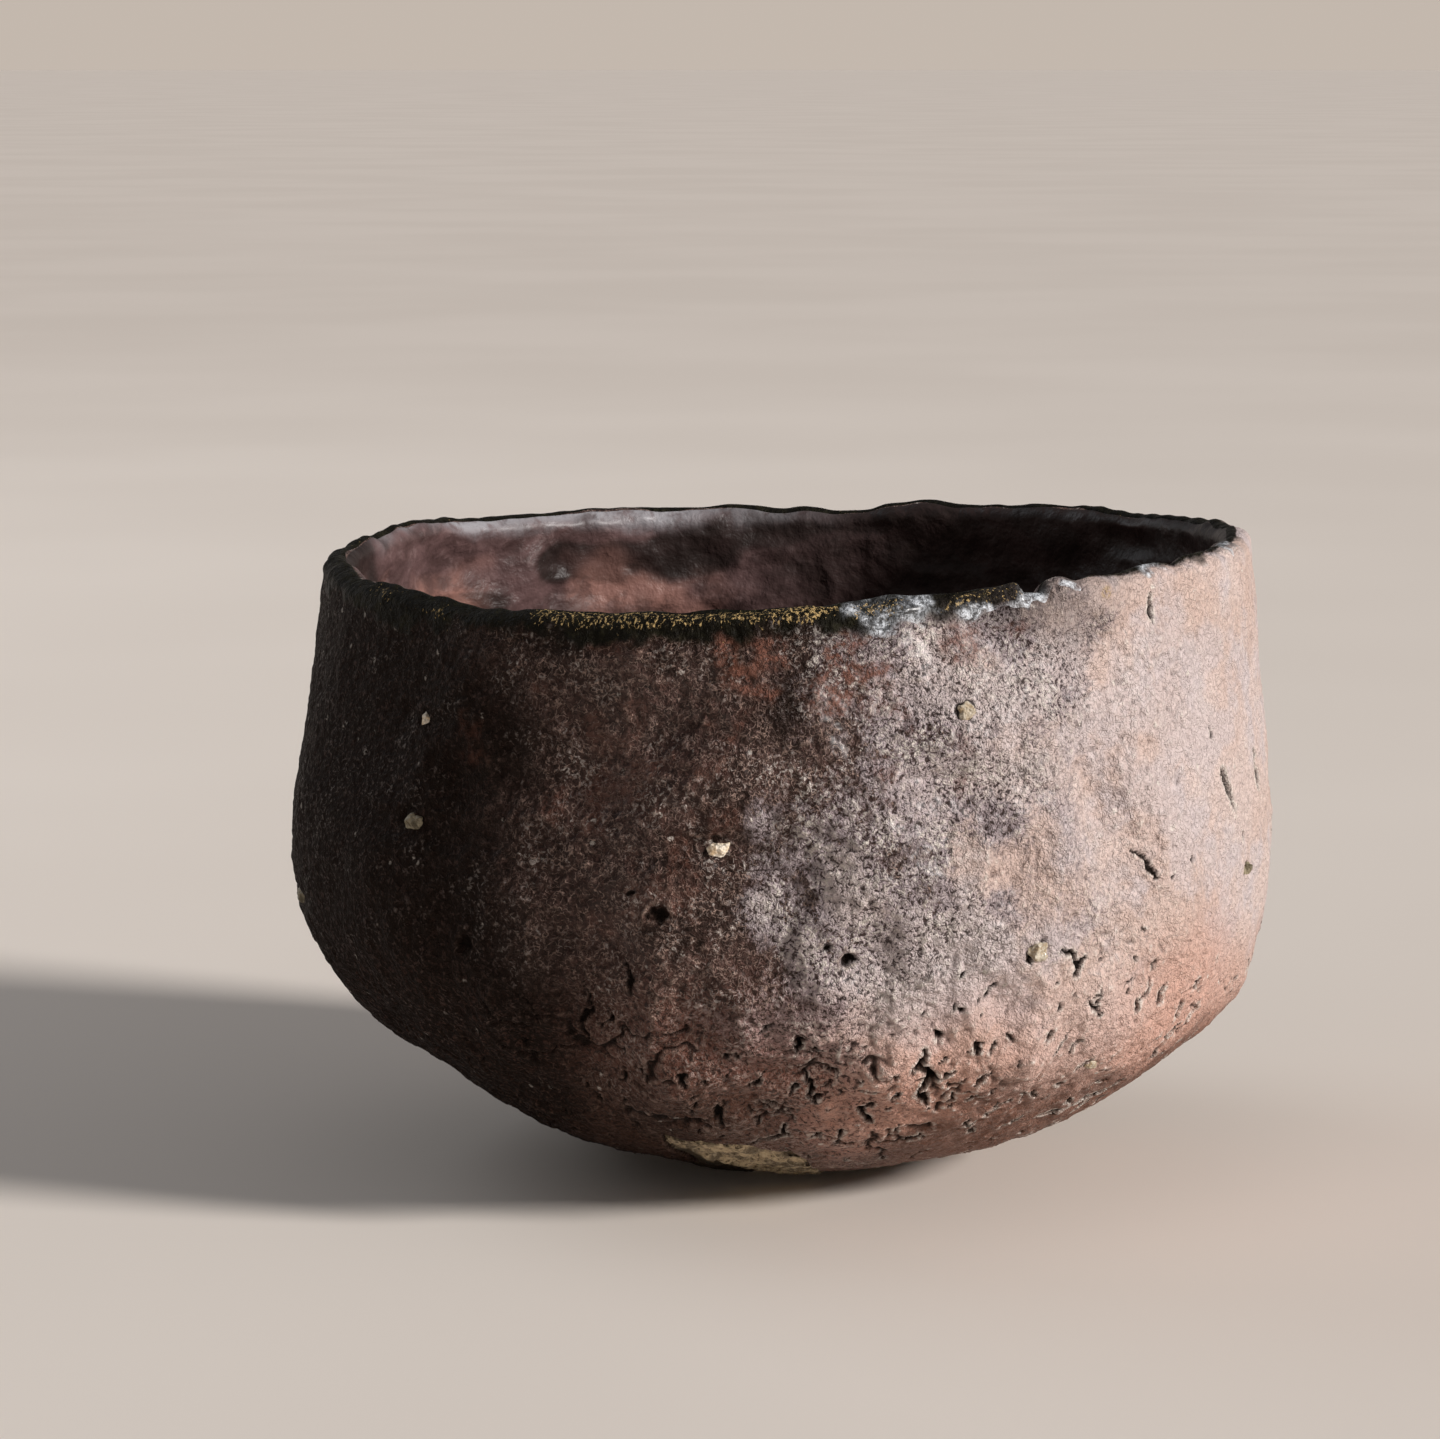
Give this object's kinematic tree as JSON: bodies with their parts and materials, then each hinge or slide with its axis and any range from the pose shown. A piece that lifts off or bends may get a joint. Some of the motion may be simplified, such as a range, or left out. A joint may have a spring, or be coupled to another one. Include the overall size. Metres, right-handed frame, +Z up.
{
  "type": "matcha bowl",
  "caption": "Hand-pinched stoneware tea bowl with a wavy glazed lip, a glazed inside, stones in its clay and a low buff foot.",
  "frame": {"origin": "on the foot's resting face, on the axis of the bowl's belly", "axes": "+Z up from the resting face through the mouth; -Y is the front, the side with the lowest lip"},
  "size_m": [0.1257, 0.1252, 0.0805],
  "materials": {
    "brown_clay": "rough fired clay, pitted and cracked",
    "buff_clay": "dry unglazed clay",
    "dark_glaze": "glossy wood-ash glaze with ochre crust",
    "plum_glaze": "satin glaze",
    "feldspar": "half-melted mineral"
  },
  "bodies": {
    "root": {"clay_body": "brown_clay", "foot_pad": "buff_clay", "lip_glaze": "dark_glaze", "inner_glaze": "plum_glaze", "feldspar_stones": "feldspar"}
  },
  "joints": []
}
